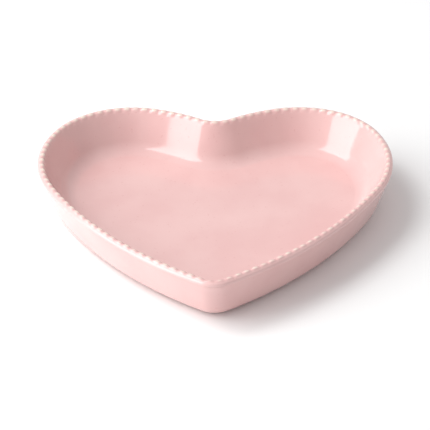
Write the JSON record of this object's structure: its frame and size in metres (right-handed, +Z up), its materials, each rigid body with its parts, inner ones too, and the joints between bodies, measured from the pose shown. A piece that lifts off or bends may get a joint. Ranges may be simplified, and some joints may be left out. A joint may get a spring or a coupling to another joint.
{
  "type": "heart-shaped trinket dish",
  "caption": "Open heart-shaped trinket dish in pink glazed stoneware, with a row of pearls round its rim and a low unglazed foot.",
  "frame": {"origin": "on the table, under the middle of the dish's bounding box", "axes": "+Z up out of the well, -Y towards the point of the heart, +Y towards the cleft, +X to the right lobe"},
  "size_m": [0.1498, 0.1402, 0.022],
  "materials": {
    "stoneware": "fired body, covered by glaze",
    "pink_glaze": "glossy pale pink glaze with faint mottling",
    "thin_glaze_on_pearls": "glossy glaze, thin and cream where it runs off the pearls",
    "bare_stoneware": "matt, wiped bare of glaze"
  },
  "bodies": {
    "root": {"clay_body": "stoneware", "rim_band": "pink_glaze", "rim_pearls": "thin_glaze_on_pearls", "foot_ring": "bare_stoneware", "inside_glaze": "pink_glaze", "outside_glaze": "pink_glaze", "underside_glaze": "pink_glaze"}
  },
  "joints": []
}
